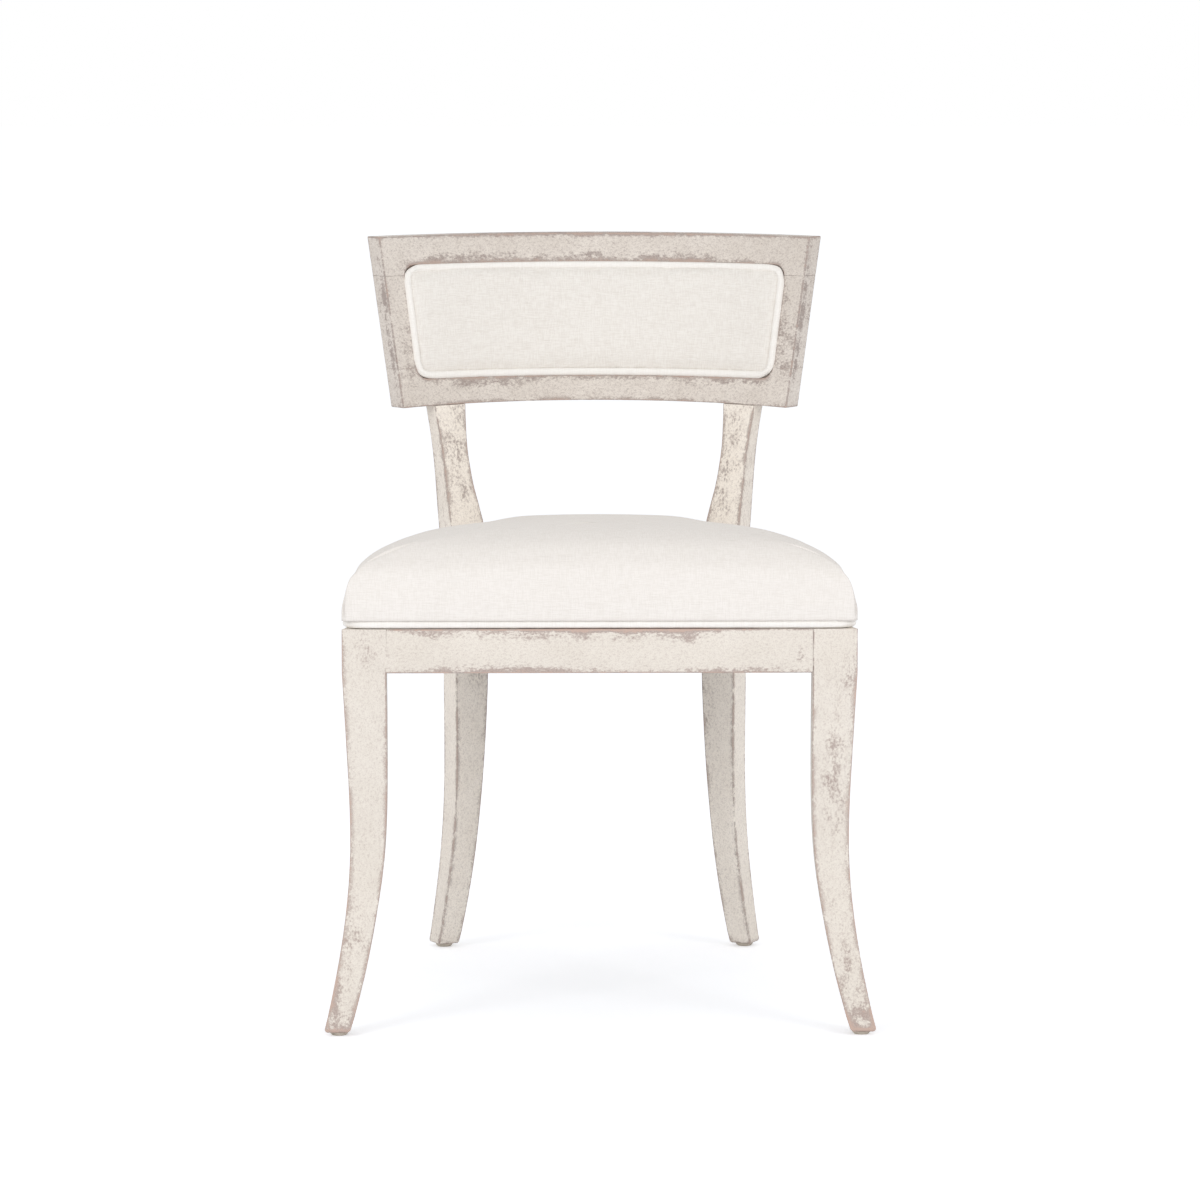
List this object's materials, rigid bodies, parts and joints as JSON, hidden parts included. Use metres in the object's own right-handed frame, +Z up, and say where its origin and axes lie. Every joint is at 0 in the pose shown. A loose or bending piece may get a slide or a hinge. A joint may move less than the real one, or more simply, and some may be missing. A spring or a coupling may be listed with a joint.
{
  "type": "klismos dining chair",
  "caption": "Klismos dining chair with splayed sabre legs, a curved leaning back frame with an upholstered panel, and a crowned tight seat edged with welt.",
  "frame": {"origin": "on the floor, under the middle of the chair's outline seen from above", "axes": "+Z up, the chair faces -Y, +X is to the right of a person who looks at its front"},
  "size_m": [0.5788, 0.6436, 0.802],
  "materials": {
    "painted_wood": "distressed off-white paint, worn to brown wood at the arrises",
    "bare_wood": "unfinished",
    "linen": "plain-weave off-white linen",
    "linen_welt": "bias-cut linen over cord",
    "foam": "cut foam",
    "webbing": "woven elastic strap",
    "dust_cloth": "spunbonded black cloth",
    "screw_steel": "zinc plated",
    "nylon": "moulded"
  },
  "bodies": {
    "root": {"front_leg_left": "painted_wood", "rear_leg_left": "painted_wood", "side_rail_left": "painted_wood", "crest_end_left": "painted_wood", "crest_tenon_upper_left": "bare_wood", "crest_tenon_lower_left": "bare_wood", "glide_front_left": "nylon", "glide_rear_left": "nylon", "front_leg_right": "painted_wood", "rear_leg_right": "painted_wood", "side_rail_right": "painted_wood", "crest_end_right": "painted_wood", "crest_tenon_upper_right": "bare_wood", "crest_tenon_lower_right": "bare_wood", "glide_front_right": "nylon", "glide_rear_right": "nylon", "front_rail": "painted_wood", "rear_rail": "painted_wood", "crest_top_rail": "painted_wood", "crest_bottom_rail": "painted_wood", "corner_block_front_left": "bare_wood", "seat_screw_front_left": "screw_steel", "block_screw_front_left_a": "screw_steel", "block_screw_front_left_b": "screw_steel", "corner_block_front_right": "bare_wood", "seat_screw_front_right": "screw_steel", "block_screw_front_right_a": "screw_steel", "block_screw_front_right_b": "screw_steel", "corner_block_rear_left": "bare_wood", "seat_screw_rear_left": "screw_steel", "block_screw_rear_left_a": "screw_steel", "block_screw_rear_left_b": "screw_steel", "corner_block_rear_right": "bare_wood", "seat_screw_rear_right": "screw_steel", "block_screw_rear_right_a": "screw_steel", "block_screw_rear_right_b": "screw_steel", "seat_frame_front": "bare_wood", "seat_frame_rear": "bare_wood", "seat_frame_left": "bare_wood", "seat_frame_right": "bare_wood", "webbing_lengthwise_1": "webbing", "webbing_lengthwise_2": "webbing", "webbing_lengthwise_3": "webbing", "webbing_cross_1": "webbing", "webbing_cross_2": "webbing", "webbing_cross_3": "webbing", "webbing_cross_4": "webbing", "seat_foam": "foam", "back_panel_foam": "foam", "seat_cover": "linen", "back_panel_cover": "linen", "outside_back_cover": "linen", "seat_welt_front": "linen_welt", "seat_welt_rear": "linen_welt", "back_panel_welt": "linen_welt", "outside_back_welt": "linen_welt", "dust_cover": "dust_cloth", "back_panel_board": "bare_wood", "outside_back_board": "bare_wood"}
  },
  "joints": []
}
